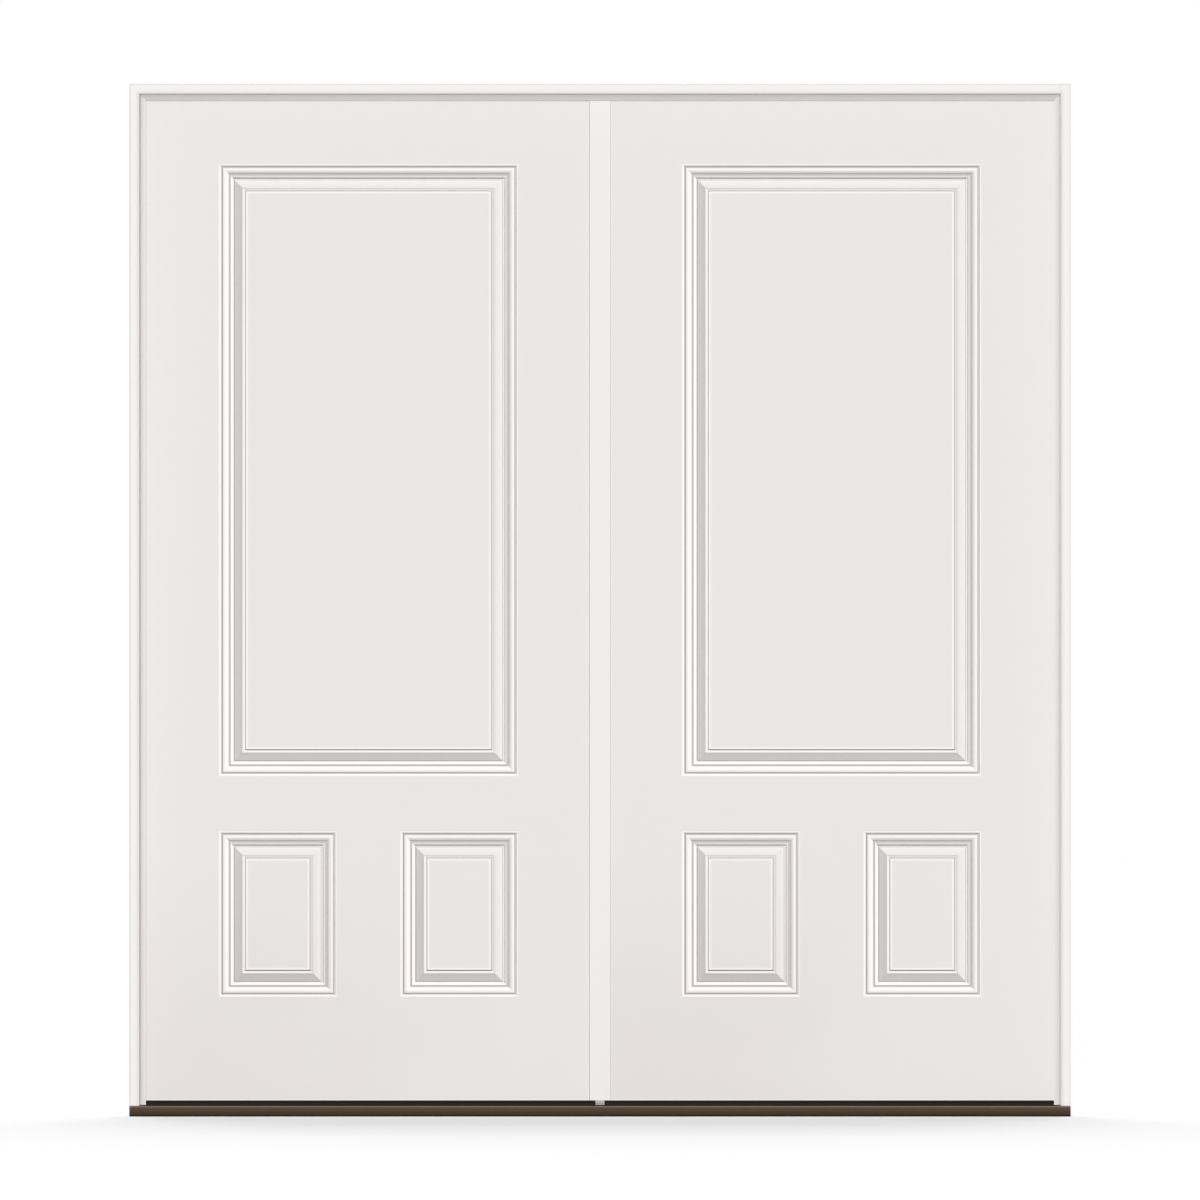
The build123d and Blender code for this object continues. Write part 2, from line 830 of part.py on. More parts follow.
# The right-hand leaf is active; the left-hand one is its mirror image
right_skin = outer_skin()
leaf_pieces = {
    "outer_skin": right_skin,
    "inner_skin": without(turned_over(right_skin), leaf_mortises),
    "hinge_stile": without(
        kerfed(stile(leaf_hinge_x - stile_width)), leaf_mortises + leaf_screw_holes
    ),
    "lock_stile": kerfed(stile(leaf_lock_x)),
    "top_rail": rail(leaf_top - top_rail_height, leaf_top),
    "bottom_rail": kerfed(rail(leaf_bottom, leaf_bottom + bottom_rail_height)),
    "lock_block": lock_block(),
    "core": core(),
    "sweep": door_sweep(),
    "hinge_screws": group(hinge_screws(leaf_hinge_x, to_leaf)),
}
for name, piece in leaf_pieces.items():
    nodes["active_" + name] = piece
    nodes["passive_" + name] = other_side(piece)
astragal_holes = screw_row(astragal_screw_places, to_leaf, astragal_screw_length, screw_clearance)
nodes["passive_lock_stile"] = without(nodes["passive_lock_stile"], astragal_holes)

# Hinges: the lowest, the middle and the upper one on each side
for level, z in zip(("bottom", "middle", "top"), hinge_heights):
    frame_leaf = without(
        hinge_leaf(z, frame_plate_x, 0), plate_screws(z, rabbet_x, to_jamb, screw_clearance)
    )
    door_leaf = without(
        hinge_leaf(z, leaf_plate_x, 1), plate_screws(z, leaf_hinge_x, to_leaf, screw_clearance)
    )
    nodes["right_hinge_frame_leaf_" + level] = frame_leaf
    nodes["right_hinge_door_leaf_" + level] = door_leaf
    nodes["left_hinge_frame_leaf_" + level] = other_side(frame_leaf)
    nodes["left_hinge_door_leaf_" + level] = other_side(door_leaf)
pins = [hinge_pin(z) for z in hinge_heights]
nodes["right_hinge_pins"] = group(pins)
nodes["left_hinge_pins"] = group(other_side(pin) for pin in pins)
jamb_hinge_screws = hinge_screws(rabbet_x, to_jamb)
nodes["frame_hinge_screws"] = group(
    jamb_hinge_screws + [other_side(one) for one in jamb_hinge_screws]
)

# Frame
right_jamb = jamb()
nodes["right_jamb"] = right_jamb
nodes["left_jamb"] = other_side(right_jamb)
nodes["head_jamb"] = head(right_jamb)
nodes["head_strike"] = strike(rabbet_z) - head_bolt_hole
joining_screws = side_screws()
nodes["frame_screws"] = group(joining_screws + [other_side(one) for one in joining_screws])

# Sill
foot_holes = screw_row(foot_places(), upwards, frame_screw_length, screw_clearance)
foot_holes += [other_side(hole) for hole in foot_holes]
cap_holes = screw_row(cap_screw_places, downwards, cap_screw_length, screw_clearance)
filling = lengthways(sill_filling(), -unit_half_width, unit_half_width)
threshold_cap = lengthways(cap_section(), -rabbet_x + seal_clearance, rabbet_x - seal_clearance)
nodes["sill_deck"] = without(
    sill_body() - filling, cap_holes + foot_holes + [sill_bolt_hole] + deck_grooves()
)
nodes["sill_core"] = without(filling, cap_holes + foot_holes + [sill_bolt_hole])
nodes["threshold_cap"] = without(
    threshold_cap, cap_holes + [strike(sill_strike_z, screw_clearance), sill_bolt_hole]
)
nodes["sill_strike"] = strike(sill_strike_z) - sill_bolt_hole
nodes["threshold_screws"] = group(screw_row(cap_screw_places, downwards, cap_screw_length))
nodes["sill_pad"] = sill_pad()

# Seals
seal_start = astragal_cap_width / 2 + seal_end_gap
seal_end = rabbet_x - bulb_width
right_seal = side_seal()
right_pad = corner_pad()
nodes["right_weatherstrip"] = right_seal
nodes["left_weatherstrip"] = other_side(right_seal)
nodes["head_weatherstrip"] = group(
    [head_seal(seal_start, seal_end), head_seal(-seal_end, -seal_start)]
)
nodes["corner_pads"] = group([right_pad, other_side(right_pad)])

# Astragal
nodes["astragal_body"] = astragal_body()
nodes["astragal_seal"] = astragal_seal()
nodes["astragal_foot"] = astragal_foot()
nodes["astragal_screws"] = group(screw_row(astragal_screw_places, to_leaf, astragal_screw_length))
nodes["top_bolt"] = flush_bolt(leaf_top - bolt_set_back, -1)
nodes["bottom_bolt"] = flush_bolt(leaf_bottom + bolt_set_back, 1)
nodes["bolt_guides"] = group([bolt_guide(leaf_bottom), bolt_guide(leaf_top - guide_height)])

os.makedirs("parts", exist_ok=True)
for name, solid in nodes.items():
    export_step(solid, "parts/" + name + ".step")
print(len(nodes), "nodes")
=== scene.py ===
import bmesh
import bpy
import json
import math
from mathutils import Matrix, Vector


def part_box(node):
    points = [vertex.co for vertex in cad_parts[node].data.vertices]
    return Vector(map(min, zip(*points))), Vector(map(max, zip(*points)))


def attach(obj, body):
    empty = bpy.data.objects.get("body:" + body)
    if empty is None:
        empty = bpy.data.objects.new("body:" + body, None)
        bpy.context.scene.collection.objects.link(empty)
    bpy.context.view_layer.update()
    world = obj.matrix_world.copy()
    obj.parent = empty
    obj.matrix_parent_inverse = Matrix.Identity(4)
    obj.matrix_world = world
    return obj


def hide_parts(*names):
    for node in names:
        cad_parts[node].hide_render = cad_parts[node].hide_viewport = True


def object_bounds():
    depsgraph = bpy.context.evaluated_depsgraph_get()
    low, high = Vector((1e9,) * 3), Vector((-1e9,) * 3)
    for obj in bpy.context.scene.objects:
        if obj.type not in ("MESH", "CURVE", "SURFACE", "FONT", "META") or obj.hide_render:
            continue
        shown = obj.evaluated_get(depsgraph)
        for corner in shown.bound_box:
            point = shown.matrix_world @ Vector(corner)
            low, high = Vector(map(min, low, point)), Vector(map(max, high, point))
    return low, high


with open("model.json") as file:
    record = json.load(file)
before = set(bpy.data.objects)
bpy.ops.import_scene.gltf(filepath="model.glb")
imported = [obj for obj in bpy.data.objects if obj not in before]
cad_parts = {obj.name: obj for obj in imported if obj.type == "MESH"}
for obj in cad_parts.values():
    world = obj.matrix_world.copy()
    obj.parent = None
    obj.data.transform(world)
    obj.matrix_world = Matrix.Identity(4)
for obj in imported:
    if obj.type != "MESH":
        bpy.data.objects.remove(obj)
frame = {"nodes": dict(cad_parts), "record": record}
cad_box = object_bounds()


# Sill: a bronze anodised deck of extruded metal over a composite core. The nose carries the die lines
# of the extrusion. Painted shade darkens it towards its foot, a painted contact shadow runs along the
# floor and a painted highlight along its top arris. A brown cap lies in the seat, and soft grey pads
# close the corners and the astragal's foot.

class Value:
    """A number that varies over a surface. Arithmetic on it adds Math nodes."""

    def __init__(self, owner, socket):
        self.owner = owner
        self.socket = socket

    def maths(self, operation, first, second=0.0):
        return self.owner.node("ShaderNodeMath", {"operation": operation}, {0: first, 1: second})

    def __add__(self, other):
        return self.maths("ADD", self, other)

    __radd__ = __add__

    def __sub__(self, other):
        return self.maths("SUBTRACT", self, other)

    def __rsub__(self, other):
        return self.maths("SUBTRACT", other, self)

    def __mul__(self, other):
        return self.maths("MULTIPLY", self, other)

    __rmul__ = __mul__

    def __truediv__(self, other):
        return self.maths("DIVIDE", self, other)

    def __abs__(self):
        return self.maths("ABSOLUTE", self)

    def fraction(self):
        return self.maths("FRACT", self)

    def least(self, other):
        return self.maths("MINIMUM", self, other)

    def most(self, other):
        return self.maths("MAXIMUM", self, other)

    def rise(self, low, high):
        """0 below low, 1 above high, straight in between."""
        limits = {"From Min": low, "From Max": high, "Value": self}
        return self.owner.node("ShaderNodeMapRange", {"clamp": True}, limits)

    def fall(self, low, high):
        """1 below low, 0 above high, straight in between."""
        return 1.0 - self.rise(low, high)


class Nodes:
    """A node tree, to which nodes are added with their settings and inputs."""

    def __init__(self, tree):
        self.tree = tree

    def node(self, kind, settings, inputs, output=0):
        """A node with its settings made first, then its inputs, as values or links."""
        new = self.tree.nodes.new(kind)
        for key, value in settings.items():
            if key == "stops":
                ramp = new.color_ramp.elements
                while len(ramp) < len(value):
                    ramp.new(1.0)
                for element, (position, colour) in zip(ramp, value):
                    element.position = position
                    element.color = (*colour, 1.0)
            else:
                setattr(new, key, value)
        for key, value in inputs.items():
            self.feed(new.inputs[key], value)
        return Value(self, new.outputs[output])

    def feed(self, socket, value):
        if isinstance(value, Value):
            self.tree.links.new(value.socket, socket)
        else:
            socket.default_value = value

    def seen(self):
        """1 for rays from the camera, a mirror or glass, and 0 for light on its way."""
        kinds = ("Is Camera Ray", "Is Glossy Ray", "Is Transmission Ray")
        camera, gloss, glass = [self.node("ShaderNodeLightPath", {}, {}, kind) for kind in kinds]
        return camera.most(gloss).most(glass)


class Finish(Nodes):
    """A surface finish: a material and the nodes that vary it over the piece."""

    def __init__(self, name, colour, roughness, metallic=0.0, specular=0.5):
        self.material = bpy.data.materials.new(name)
        self.material.use_nodes = True
        super().__init__(self.material.node_tree)
        self.shader = self.tree.nodes["Principled BSDF"]
        self.set("Base Color", (*colour, 1.0))
        self.set("Roughness", roughness)
        self.set("Metallic", metallic)
        self.set("Specular IOR Level", specular)
        self.place = self.node("ShaderNodeTexCoord", {}, {}, "Object")
        self.x = self.part_of(self.place, "X")
        self.y = self.part_of(self.place, "Y")
        self.z = self.part_of(self.place, "Z")

    def set(self, socket, value):
        self.feed(self.shader.inputs[socket], value)

    def part_of(self, vector, axis):
        return self.node("ShaderNodeSeparateXYZ", {}, {0: vector}, axis)

    def blend(self, factor, first, second):
        """A colour between two, by a factor."""
        colours = [one if isinstance(one, Value) else (*one, 1.0) for one in (first, second)]
        inputs = {0: factor, 6: colours[0], 7: colours[1]}
        return self.node("ShaderNodeMix", {"data_type": "RGBA"}, inputs, 2)

    def tinted(self, colour, tint):
        """A colour multiplied by another."""
        settings = {"data_type": "RGBA", "blend_type": "MULTIPLY"}
        return self.node("ShaderNodeMix", settings, {0: 1.0, 6: colour, 7: tint}, 2)

    def ramp(self, factor, stops):
        """A colour that runs through stops, each a position from 0 to 1 and a colour."""
        return self.node("ShaderNodeValToRGB", {"stops": stops}, {0: factor})

    def shades(self, factor, white, stops):
        """A white that runs through stops, each a position and how light it is there."""
        colours = [(position, [part * tone for part in white]) for position, tone in stops]
        return self.ramp(factor, colours)

    def colour_by(self, factor, first, second):
        """Lets the base colour run between two colours, by a factor."""
        self.set("Base Color", self.blend(factor, first, second))

    def cloud(self, scale, detail, stretch=(1.0, 1.0, 1.0)):
        """Soft noise over the piece; a small stretch draws it out along that axis."""
        where = self.node("ShaderNodeMapping", {}, {"Vector": self.place, "Scale": stretch})
        inputs = {"Vector": where, "Scale": scale, "Detail": detail}
        return self.node("ShaderNodeTexNoise", {}, inputs)

    def bump(self, height, strength, distance):
        inputs = {"Height": height, "Strength": strength, "Distance": distance}
        self.set("Normal", self.node("ShaderNodeBump", {}, inputs))


nodes = frame["nodes"]


def wear(finish, *names):
    """Puts a finish on nodes that keep their own shape."""
    for name in names:
        slots = nodes[name].data.materials
        slots.clear()
        slots.append(finish.material)


deck_low, deck_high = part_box("sill_deck")
deck_rise = 0.0018
nose_top = deck_high.z - deck_rise
foot_shade = 0.92
contact_shadow_height = 0.0018
contact_shadow_edge = 0.0012
arris_drop = 0.0012
arris_edge = 0.0005
arris_depth = 0.003
arris_end = 0.004

bronze = Finish("bronze_anodised", (0.046, 0.031, 0.022), 0.42, metallic=1.0)
streaks = bronze.cloud(90.0, 3.0, (0.05, 1.0, 6.0))
bronze_tone = bronze.blend(streaks.rise(0.35, 0.65), (0.038, 0.0256, 0.0176), (0.044, 0.030, 0.021))
# Painted shade darkens the nose towards its foot.
painted_shade_low_on_nose = bronze.z.fall(0.0, nose_top)
bronze_tone = bronze.blend(painted_shade_low_on_nose * foot_shade, bronze_tone, (0.012, 0.008, 0.0055))
# A painted contact shadow runs along the floor at the nose's foot.
contact_shadow = bronze.z.fall(contact_shadow_height, contact_shadow_height + contact_shadow_edge)
bronze_tone = bronze.blend(contact_shadow, bronze_tone, (0.006, 0.004, 0.003))
# A painted highlight runs along the top arris of the nose.
arris_low = nose_top - arris_drop
arris_back = deck_low.y + arris_depth
arris_highlight = bronze.z.rise(arris_low - arris_edge, arris_low)
arris_highlight = arris_highlight * bronze.y.fall(arris_back, arris_back + arris_end)
bronze.colour_by(arris_highlight, bronze_tone, (0.290, 0.232, 0.180))
bronze.set("Specular Tint", (0.10, 0.075, 0.055, 1.0))
bronze.set("Roughness", 0.36 + 0.14 * streaks)
bronze.bump(streaks, 0.25, 0.0002)
wear(bronze, "sill_deck")

substrate = Finish("sill_composite", (0.12, 0.11, 0.10), 0.75)
grains = substrate.cloud(700.0, 4.0)
substrate.colour_by(grains, (0.09, 0.082, 0.075), (0.15, 0.138, 0.125))
substrate.bump(grains, 0.4, 0.0004)
wear(substrate, "sill_core")

cap_brown = Finish("cap_composite", (0.015, 0.013, 0.011), 0.6, specular=0.2)
grains = cap_brown.cloud(240.0, 3.0, (0.04, 1.0, 1.0))
cap_brown.colour_by(grains, (0.012, 0.010, 0.009), (0.019, 0.016, 0.013))
cap_brown.set("Roughness", 0.55 + 0.2 * grains)
cap_brown.bump(grains, 0.3, 0.0003)
wear(cap_brown, "threshold_cap")

pad_grey = Finish("soft_pad", (0.50, 0.475, 0.47), 0.9, specular=0.2)
pores = pad_grey.cloud(2600.0, 2.0)
pad_grey.colour_by(pores, (0.45, 0.43, 0.425), (0.56, 0.535, 0.53))
pad_grey.bump(pores, 0.6, 0.0005)
wear(pad_grey, "sill_pad", "corner_pads", "astragal_foot")


# Jambs and head: one wooden moulding each, primed and painted white, with the stop that the leaves
# close towards. The paint is satin and shows faint lengthwise grain. Painted light and shade run across
# the front of each board, dark at its outer edge and, on the jambs, darkest in the inner corner.
# Painted shade lies on the stops, and under the head it is the head's painted shadow. The backs, which
# the wall hides, are only primed.

head_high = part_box("head_jamb")[1]
jamb_low, jamb_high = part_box("right_jamb")
board = jamb_high.x - head_high.x
stop_reach = jamb_high.x - jamb_low.x
stop_width = 0.0115
stop_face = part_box("right_weatherstrip")[0].y - stop_width
front_depth = 0.0006
tone_depth = 0.0002
tone_edge = 0.0008
jamb_white = (1.0, 0.963, 0.948)

frame_paint = Finish("jamb_paint", (0.90, 0.87, 0.855), 0.42, specular=0.4)
grain = frame_paint.cloud(34.0, 4.0, (6.0, 6.0, 0.16))
cross_grain = frame_paint.cloud(34.0, 4.0, (0.16, 6.0, 6.0))
from_side = jamb_high.x - abs(frame_paint.x)
from_top = head_high.z - frame_paint.z
inwards = from_side.least(from_top)
on_head = (from_side - from_top).rise(-tone_depth, tone_depth)

# Painted light and shade across the board's face, from its outer edge to the painted dark line at its
# inner edge
face_painted_shading = frame_paint.shades(inwards / board, jamb_white, [
    (0.00, 0.715), (0.08, 0.730), (0.15, 0.940), (0.26, 0.915), (0.60, 0.900), (0.80, 0.820),
    (0.91, 0.790), (1.00, 0.920),
])
# A painted dark line in the inner corner of each jamb, where shade falls.
inner_corner_shade = (inwards / board).rise(0.94, 0.955) * (1.0 - on_head)
face_painted_shading = frame_paint.blend(inner_corner_shade, face_painted_shading, (0.440, 0.422, 0.415))

# Painted shade across the stop's face, from the board to the opening; under the head it is the head's
# painted shadow
across_stop = (inwards - board) / (stop_reach - board)
jamb_stop_painted_shade = frame_paint.shades(across_stop, jamb_white, [
    (0.00, 0.550), (0.18, 0.565), (0.26, 0.685), (0.60, 0.715), (1.00, 0.800),
])
head_stop_painted_shadow = frame_paint.shades(across_stop, jamb_white, [
    (0.00, 0.860), (0.10, 0.780), (0.30, 0.660), (0.50, 0.565), (0.80, 0.565), (1.00, 0.620),
])
stop_painted_shade = frame_paint.blend(on_head, jamb_stop_painted_shade, head_stop_painted_shadow)

on_back = inwards.fall(tone_depth, 2 * tone_depth)
on_front = frame_paint.y.fall(front_depth, front_depth + tone_edge)
on_stop = abs(frame_paint.y - stop_face).fall(tone_depth, tone_depth + tone_edge)
shaded = frame_paint.blend(grain, (0.872, 0.838, 0.824), (0.886, 0.854, 0.840))
shaded = frame_paint.blend(on_back, shaded, (0.760, 0.742, 0.715))
shaded = frame_paint.blend(on_front, shaded, face_painted_shading)
shaded = frame_paint.blend(on_stop, shaded, stop_painted_shade)
frame_paint.set("Base Color", shaded)
frame_paint.set("Roughness", 0.38 + 0.1 * grain)
frame_paint.bump(cross_grain * on_head + grain * (1.0 - on_head), 0.12, 0.0006)
wear(frame_paint, "left_jamb", "right_jamb", "head_jamb")


# Weatherstrips: a foam bulb in a smooth white sleeve, pressed into the kerf beside each stop, along
# both jambs and the head. The strip behind the astragal's cap has the same sleeve.

sleeve = Finish("sleeve_white", (0.80, 0.78, 0.76), 0.6, specular=0.3)
wrinkles = sleeve.cloud(420.0, 2.0)
sleeve.colour_by(wrinkles, (0.77, 0.75, 0.73), (0.83, 0.81, 0.79))
sleeve.bump(wrinkles, 0.25, 0.0004)
wear(sleeve, "left_weatherstrip", "right_weatherstrip", "head_weatherstrip", "astragal_seal")


# Insides of a leaf: laminated softwood stiles, composite rails that don't rot, a wooden block for a
# lock and a core of foam, poured between the skins.

softwood = Finish("laminated_softwood", (0.66, 0.50, 0.33), 0.55, specular=0.35)
figure = softwood.cloud(22.0, 5.0, (14.0, 14.0, 0.5))
softwood.colour_by(figure.rise(0.35, 0.68), (0.58, 0.42, 0.26), (0.74, 0.59, 0.41))
softwood.set("Roughness", 0.5 + 0.15 * figure)
softwood.bump(figure, 0.3, 0.0006)
wear(
    softwood, "active_hinge_stile", "active_lock_stile", "active_lock_block",
    "passive_hinge_stile", "passive_lock_stile", "passive_lock_block",
)

composite = Finish("rail_composite", (0.50, 0.46, 0.41), 0.7)
specks = composite.cloud(900.0, 3.0)
composite.colour_by(specks, (0.44, 0.405, 0.36), (0.56, 0.52, 0.465))
composite.bump(specks, 0.35, 0.0004)
wear(composite, "active_top_rail", "active_bottom_rail", "passive_top_rail", "passive_bottom_rail")

foam = Finish("leaf_foam", (0.82, 0.74, 0.52), 0.95, specular=0.15)
cells = foam.cloud(1500.0, 3.0)
foam.colour_by(cells, (0.76, 0.68, 0.46), (0.87, 0.80, 0.58))
foam.bump(cells, 0.7, 0.0008)
wear(foam, "active_core", "passive_core")


# Skins: thin sheets moulded with one tall panel over two small ones and painted white at the works.
# The sheet is very slightly uneven. Painted highlights lighten the moulding's arrises and the skin's
# bottom edge, and painted shade darkens the moulding's quirks.

leaf_low, leaf_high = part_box("active_outer_skin")
panel_side_margin = 0.1578
small_panel_bottom = 0.2103
small_panel_height = 0.3294
small_panel_gap = 0.1320
panel_rail = 0.1151
panel_top_margin = 0.1393
foot_tint_low = 0.16
foot_tint_high = 0.52
bottom_highlight_start = 0.0016
bottom_highlight_end = 0.0026
skin_white = (0.836, 0.807, 0.799)

# Painted highlights on the moulding's arrises and painted shade in its quirks.
# How light the paint is at a distance in millimetres from a panel's edge inwards, against the flat face
painted_highlights_and_shade = [
    (-2.4, 1.00), (-1.4, 1.19), (2.0, 1.19), (2.8, 0.82), (4.2, 0.60), (5.6, 0.64), (6.4, 1.15),
    (8.6, 1.16), (11.0, 1.12), (12.8, 1.19), (15.6, 1.19), (17.4, 0.98), (18.8, 0.74), (20.6, 0.64),
    (21.6, 0.84), (22.6, 1.19), (27.6, 1.19), (28.6, 0.72), (29.8, 0.72), (30.8, 1.00), (45.0, 0.94),
    (46.6, 1.06), (49.8, 1.12), (50.8, 0.70), (52.4, 0.66), (53.2, 1.16), (55.8, 1.16), (57.4, 1.00),
]
tones_start = -0.004
tones_end = 0.060

skin_paint = Finish("skin_paint", skin_white, 0.46, specular=0.35)


def skin_shade(tone):
    """The skin's white at a tone: dark tones are a little warmer."""
    dark = max(0.0, 1.0 - tone)
    warmth = (1.0, 1.0 - 0.12 * dark, 1.0 - 0.22 * dark)
    return [min(1.0, part * tone * warm) for part, warm in zip(skin_white, warmth)]


def inside_panel(left, right, low, high):
    """How far a point lies inside a panel's edge, and negative outside it."""
    across = abs(skin_paint.x)
    in_width = (across - left).least(right - across)
    in_height = (skin_paint.z - low).least(high - skin_paint.z)
    return in_width.least(in_height)


panel_left = leaf_low.x + panel_side_margin
panel_right = leaf_high.x - panel_side_margin
small_width = (panel_right - panel_left - small_panel_gap) / 2
small_low = leaf_low.z + small_panel_bottom
small_high = small_low + small_panel_height
tall_low = small_high + panel_rail
tall_high = leaf_high.z - panel_top_margin
depth_in = inside_panel(panel_left, panel_right, tall_low, tall_high)
depth_in = depth_in.most(inside_panel(panel_left, panel_left + small_width, small_low, small_high))
depth_in = depth_in.most(inside_panel(panel_right - small_width, panel_right, small_low, small_high))
painted_light_stops = [
    ((place / 1000 - tones_start) / (tones_end - tones_start), skin_shade(tone))
    for place, tone in painted_highlights_and_shade
]
moulding_painted_light = skin_paint.ramp(depth_in.rise(tones_start, tones_end), painted_light_stops)

# Place across each leaf, from 0 at its left edge to 1 at its right edge
leaf_pitch = leaf_low.x + leaf_high.x
across_leaf = (skin_paint.x / leaf_pitch + 1.0).fraction()
drift = skin_paint.cloud(3.2, 3.0).rise(0.42, 0.58)
warm_side = (across_leaf + 0.15 * drift).rise(0.30, 0.80)
foot_tint = skin_paint.blend(warm_side, (0.955, 0.934, 0.943), (0.992, 0.992, 0.980))
body_tint = skin_paint.blend(drift, (1.0, 0.999, 0.998), (0.998, 1.0, 0.994))
near_foot = skin_paint.z.fall(foot_tint_low, foot_tint_high)
painted = skin_paint.tinted(moulding_painted_light, skin_paint.blend(near_foot, body_tint, foot_tint))
# A painted highlight along the bottom edge of each skin.
bottom_edge_highlight = skin_paint.z.fall(leaf_low.z + bottom_highlight_start, leaf_low.z + bottom_highlight_end)
skin_paint.colour_by(bottom_edge_highlight, painted, (0.93, 0.89, 0.885))
peel = skin_paint.cloud(380.0, 2.0)
skin_paint.set("Roughness", 0.42 + 0.08 * peel)
skin_paint.bump(peel, 0.05, 0.0004)
wear(
    skin_paint, "active_outer_skin", "active_inner_skin", "passive_outer_skin", "passive_inner_skin",
)


# Sweeps: dark flexible extrusions with three fins each, pushed into kerfs in the bottom of each leaf,
# where the fins close down to the threshold cap. A dull bloom runs along them.

rubber = Finish("sweep_rubber", (0.013, 0.011, 0.0095), 0.62, specular=0.15)
bloom = rubber.cloud(160.0, 3.0, (0.05, 1.0, 1.0))
rubber.colour_by(bloom, (0.011, 0.0093, 0.0080), (0.015, 0.0128, 0.0110))
rubber.set("Roughness", 0.55 + 0.2 * bloom)
rubber.bump(bloom, 0.2, 0.0003)
wear(rubber, "active_sweep", "passive_sweep")


# Hinges: rolled steel leaves with five knuckles and a loose pin, satin plated. The plating is brushed
# along the hinge's height, so its tone and its sheen vary a little from line to line.

plating = Finish("hinge_plating", (0.60, 0.585, 0.555), 0.32, metallic=1.0)
brush = plating.cloud(900.0, 2.0, (1.0, 1.0, 0.06))
plating.colour_by(brush, (0.56, 0.545, 0.515), (0.66, 0.645, 0.61))
plating.set("Roughness", 0.26 + 0.14 * brush)
plating.bump(brush, 0.1, 0.0001)
hinge_leaves = [name for name in nodes if "_hinge_frame_leaf_" in name or "_hinge_door_leaf_" in name]
wear(plating, *hinge_leaves, "left_hinge_pins", "right_hinge_pins")


# Astragal: a white powder-coated extrusion screwed to the passive leaf's lock edge. Its cap covers the
# middle gap from outside, and a seal and a pad close it against the active leaf and the sill.

cap_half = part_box("astragal_body")[1].x
cap_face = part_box("astragal_body")[0].y
cap_tone_depth = 0.0016
cap_tone_end = 0.0022
cap_white = (1.0, 0.964, 0.954)

powder = Finish("powder_white", (0.872, 0.842, 0.832), 0.4, specular=0.4)
orange_peel = powder.cloud(900.0, 2.0)
coating = powder.blend(orange_peel, (0.862, 0.832, 0.822), (0.874, 0.844, 0.834))
# Painted shade darkens the cap's edges, most at its right, and a painted highlight lies just inside its
# left edge.
cap_painted_light = powder.shades(powder.x.rise(-cap_half, cap_half), cap_white, [
    (0.000, 0.840), (0.035, 0.950), (0.060, 0.854), (0.950, 0.854), (0.965, 0.700), (1.000, 0.640),
])
on_cap = powder.y.fall(cap_face + cap_tone_depth, cap_face + cap_tone_end)
powder.colour_by(on_cap, coating, cap_painted_light)
powder.set("Roughness", 0.36 + 0.1 * orange_peel)
powder.bump(orange_peel, 0.12, 0.0002)
wear(powder, "astragal_body")


# Flush bolts: satin steel rods in plastic guides, drawn back here. The upper one is thrown into a
# strike in the head, and the lower one into a strike in the threshold cap.

satin_steel = Finish("bolt_steel", (0.58, 0.57, 0.55), 0.3, metallic=1.0)
turning = satin_steel.cloud(500.0, 2.0, (1.0, 1.0, 3.0))
satin_steel.colour_by(turning, (0.54, 0.53, 0.51), (0.64, 0.63, 0.61))
satin_steel.set("Roughness", 0.24 + 0.14 * turning)
satin_steel.bump(turning, 0.08, 0.0001)
wear(satin_steel, "top_bolt", "bottom_bolt", "head_strike", "sill_strike")

guide_plastic = Finish("guide_plastic", (0.80, 0.78, 0.76), 0.5)
flow = guide_plastic.cloud(600.0, 2.0)
guide_plastic.colour_by(flow, (0.77, 0.75, 0.73), (0.83, 0.81, 0.79))
guide_plastic.bump(flow, 0.15, 0.0002)
wear(guide_plastic, "bolt_guides")


# Screws: countersunk steel wood screws with a cross recess, driven flush with what they hold. They
# hold the hinges, join the frame's members and fix the threshold cap and the astragal.

screw_sides = 12
recess_reach = 0.0024
recess_neck = 0.0006
recess_depth = 0.0015
recess_taper = 0.5
cone_height = 0.0020
point_taper = 0.1
same_place = 1e-6
end_depth = 1e-5
smooth_angle = 0.6
bodies = frame["record"]["behaviour"]["bodies"]

screw_steel = Finish("screw_steel", (0.60, 0.585, 0.555), 0.3, metallic=1.0)
plate_tone = screw_steel.cloud(700.0, 2.0)
screw_steel.colour_by(plate_tone, (0.54, 0.525, 0.495), (0.66, 0.645, 0.61))
screw_steel.set("Roughness", 0.24 + 0.16 * plate_tone)


def solids_of(mesh):
    """The corners of each separate solid in a mesh, in the mesh's own order."""
    copy = bmesh.new()
    copy.from_mesh(mesh)
    bmesh.ops.remove_doubles(copy, verts=copy.verts, dist=same_place)
    solids = []
    taken = set()
    for seed in copy.verts:
        if seed in taken:
            continue
        taken.add(seed)
        reached = [seed]
        for corner in reached:
            near = [edge.other_vert(corner) for edge in corner.link_edges]
            fresh = [one for one in near if one not in taken]
            taken.update(fresh)
            reached.extend(fresh)
        solids.append([corner.co.copy() for corner in reached])
    copy.free()
    return solids


def screw_form(corners):
    """Middle of the head, direction, length and both radii of the screw that a solid stands for."""
    low = Vector([min(corner[axis] for corner in corners) for axis in range(3)])
    high = Vector([max(corner[axis] for corner in corners) for axis in range(3)])
    size = high - low
    longest = max(range(3), key=lambda axis: size[axis])
    along = Vector([1.0 if axis == longest else 0.0 for axis in range(3)])
    half = along * size[longest] / 2
    ends = [(low + high) / 2 - half, (low + high) / 2 + half]
    radii = []
    for end in ends:
        ring = [corner - end for corner in corners if abs(corner[longest] - end[longest]) < end_depth]
        radii.append(max((arm - arm.project(along)).length for arm in ring))
    head = radii.index(max(radii))
    direction = along if head == 0 else -along
    return ends[head], direction, size[longest], radii[head], radii[1 - head]


def made(result, kind):
    """The corners or edges among what an operator has made."""
    return [one for one in result["geom"] if isinstance(one, kind)]


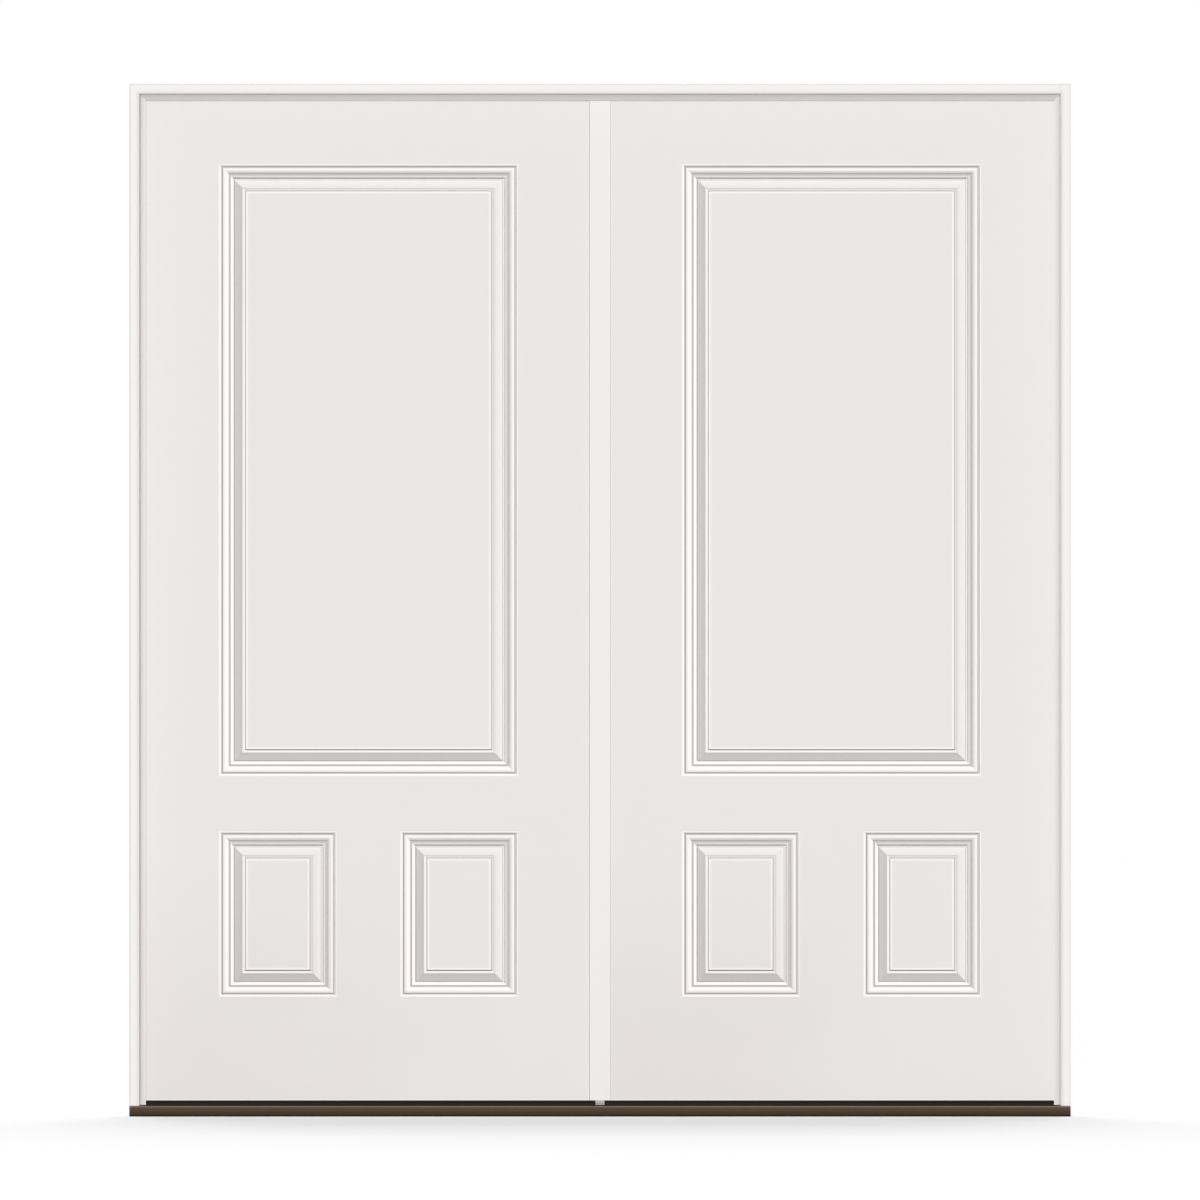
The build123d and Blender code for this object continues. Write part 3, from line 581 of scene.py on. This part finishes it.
def taper(form, corners, share):
    """Draws corners in towards their middle."""
    middle = sum((corner.co for corner in corners), Vector()) / len(corners)
    about_middle = Matrix.Translation(-middle)
    bmesh.ops.scale(form, verts=corners, vec=(share, share, share), space=about_middle)


def sink_cross(form, face, placed, direction):
    """Turns a round face on a screw's head into a cross and sinks it."""
    unplaced = placed.inverted()
    for corner in face.verts:
        local = unplaced @ corner.co
        on_diagonal = abs(abs(local.x) - abs(local.y)) < local.length / 4
        corner.co = placed @ (local.normalized() * (recess_neck if on_diagonal else recess_reach))
    sunk = bmesh.ops.extrude_face_region(form, geom=[face])
    bottom = made(sunk, bmesh.types.BMVert)
    bmesh.ops.delete(form, geom=[face], context="FACES_ONLY")
    bmesh.ops.translate(form, verts=bottom, vec=direction * recess_depth)
    taper(form, bottom, recess_taper)


def add_screw(form, corners):
    """One screw: a recessed head, its cone and a shank with a point as long as the shank is wide."""
    head, direction, length, head_radius, shank_radius = screw_form(corners)
    turn = (-direction).to_track_quat("Z", "Y").to_matrix().to_4x4()
    placed = Matrix.Translation(head) @ turn
    half_step = Matrix.Rotation(math.pi / screw_sides, 4, "Z")
    circle = bmesh.ops.create_circle(
        form, cap_ends=True, segments=screw_sides, radius=head_radius, matrix=placed @ half_step
    )
    top = circle["verts"][0].link_faces[0]
    rim = list(top.edges)
    margin = head_radius - recess_reach
    bmesh.ops.inset_region(form, faces=[top], thickness=margin, use_even_offset=False)
    sink_cross(form, top, placed, direction)
    point_length = 2 * shank_radius
    steps = [
        (cone_height, shank_radius / head_radius),
        (length - cone_height - point_length, 1.0),
        (point_length, point_taper),
    ]
    for step, share in steps:
        grown = bmesh.ops.extrude_edge_only(form, edges=rim)
        rim = made(grown, bmesh.types.BMEdge)
        ring = made(grown, bmesh.types.BMVert)
        bmesh.ops.translate(form, verts=ring, vec=direction * step)
        taper(form, ring, share)
    bmesh.ops.edgeloop_fill(form, edges=rim)


def finish_piece(name, form, finish):
    """A finished piece at the origin, with its faces turned outwards."""
    bmesh.ops.recalc_face_normals(form, faces=form.faces)
    for face in form.faces:
        face.smooth = True
    for edge in form.edges:
        edge.smooth = len(edge.link_faces) == 2 and edge.calc_face_angle() < smooth_angle
    mesh = bpy.data.meshes.new(name)
    form.to_mesh(mesh)
    form.free()
    piece = bpy.data.objects.new(name, mesh)
    bpy.context.scene.collection.objects.link(piece)
    mesh.materials.append(finish.material)
    return piece


def body_of(node):
    """The body that a node rides on."""
    return next(body for body, names in bodies.items() if node in names)


for node in [name for name in nodes if name.endswith("_screws")]:
    screws = bmesh.new()
    for solid in solids_of(nodes[node].data):
        add_screw(screws, solid)
    piece = finish_piece(node + "_cross_recess", screws, screw_steel)
    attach(piece, body_of(node))
    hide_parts(node)


# The room: a wide white floor and surround. A soft light stands high on the right in front, and a low
# one throws the head's shadow on the leaves. Two behind throw the door's shadow forward on the floor,
# and two on the left light the inside and the left jamb.

floor_reach = 60.0
floor_form = bmesh.new()
bmesh.ops.create_grid(floor_form, x_segments=1, y_segments=1, size=floor_reach)
floor_finish = Finish("floor_white", (0.9, 0.9, 0.9), 0.9, specular=0.0)
floor_shade = floor_finish.blend(floor_finish.seen(), (0.13, 0.13, 0.13), (0.94, 0.94, 0.94))
floor_finish.set("Base Color", floor_shade)
floor = finish_piece("floor", floor_form, floor_finish)

fill = 0.08
world = bpy.data.worlds.new("surround")
bpy.context.scene.world = world
world.use_nodes = True
surround = Nodes(world.node_tree)
background = world.node_tree.nodes["Background"]
surround.feed(background.inputs["Color"], (1.0, 1.0, 1.0, 1.0))
surround.feed(background.inputs["Strength"], surround.seen() * (1.0 - fill) + fill)

white_sun = math.pi


def sun(name, towards, level, softness, shadow=True):
    """A distant lamp in the direction given; level is what it adds to a white face turned to it."""
    lamp = bpy.data.lights.new(name, "SUN")
    lamp.energy = white_sun * level
    lamp.angle = softness
    lamp.use_shadow = shadow
    if not shadow:
        lamp.cycles.max_bounces = 0
    holder = bpy.data.objects.new(name, lamp)
    holder.rotation_mode = "QUATERNION"
    holder.rotation_quaternion = Vector(towards).to_track_quat("Z", "Y")
    bpy.context.scene.collection.objects.link(holder)


sun("front_light", (-0.02, -1.0, 0.07), 0.310, 0.14)
sun("modelling_light", (0.53, -0.58, 0.54), 0.905, 0.5, shadow=False)
sun("low_back_light", (0.0, 1.0, 0.72), 0.245, 0.55)
sun("high_back_light", (0.0, 1.0, 1.6), 0.245, 0.6)
sun("inside_light", (-0.60, 0.65, 0.15), 0.50, 0.5, shadow=False)
sun("left_light", (-1.0, 0.45, 0.0), 0.37, 0.5, shadow=False)

picture_pixels = 1200
outline_pixels = 941.0
seen_width = (cad_box[1][0] - cad_box[0][0]) * picture_pixels / outline_pixels
camera_distance = 60.0
camera_height = 1.0386
view_depth = 400.0
sensor_width = 36.0
camera_data = bpy.data.cameras.new("camera")
camera_data.sensor_width = sensor_width
camera_data.lens = sensor_width * camera_distance / seen_width
camera_data.clip_end = view_depth
camera = bpy.data.objects.new("camera", camera_data)
camera.location = (0.0, -camera_distance, camera_height)
camera.rotation_euler = (math.pi / 2, 0.0, 0.0)
bpy.context.scene.collection.objects.link(camera)
bpy.context.scene.camera = camera
bpy.context.scene.view_settings.view_transform = "Standard"
